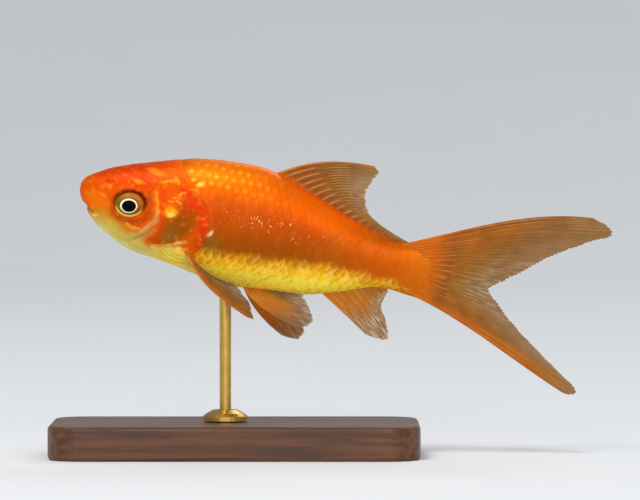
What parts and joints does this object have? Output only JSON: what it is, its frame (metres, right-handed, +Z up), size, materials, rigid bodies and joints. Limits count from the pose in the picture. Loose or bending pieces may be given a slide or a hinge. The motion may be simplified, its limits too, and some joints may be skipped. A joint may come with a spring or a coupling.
{
  "type": "goldfish model on a display stand",
  "caption": "Life-size museum model of a common goldfish with a long forked tail, swimming with its head raised, on a rod and a flat base.",
  "frame": {"origin": "middle of the stand base's underside", "axes": "+Z up; the fish's head is towards -X, its tail towards +X and its left side towards -Y; the underside faces -Z"},
  "size_m": [0.1167, 0.038, 0.0611],
  "materials": {
    "skin": "wet, scaled orange skin",
    "fin": "thin rayed fin, satin",
    "eye": "polished",
    "wood": "dark stain, satin lacquer",
    "brass": "brushed"
  },
  "bodies": {
    "root": {"head": "skin", "lower_jaw": "skin", "gill_cover_left": "skin", "gill_cover_right": "skin", "trunk": "skin", "tail_stalk": "skin", "eye_left": "eye", "eye_right": "eye", "dorsal_fin": "fin", "anal_fin": "fin", "tail_fin_upper": "fin", "tail_fin_lower": "fin", "pectoral_fin_left": "fin", "pectoral_fin_right": "fin", "pelvic_fin_left": "fin", "pelvic_fin_right": "fin", "stand_base": "wood", "stand_rod": "brass", "stand_collar": "brass"}
  },
  "joints": []
}
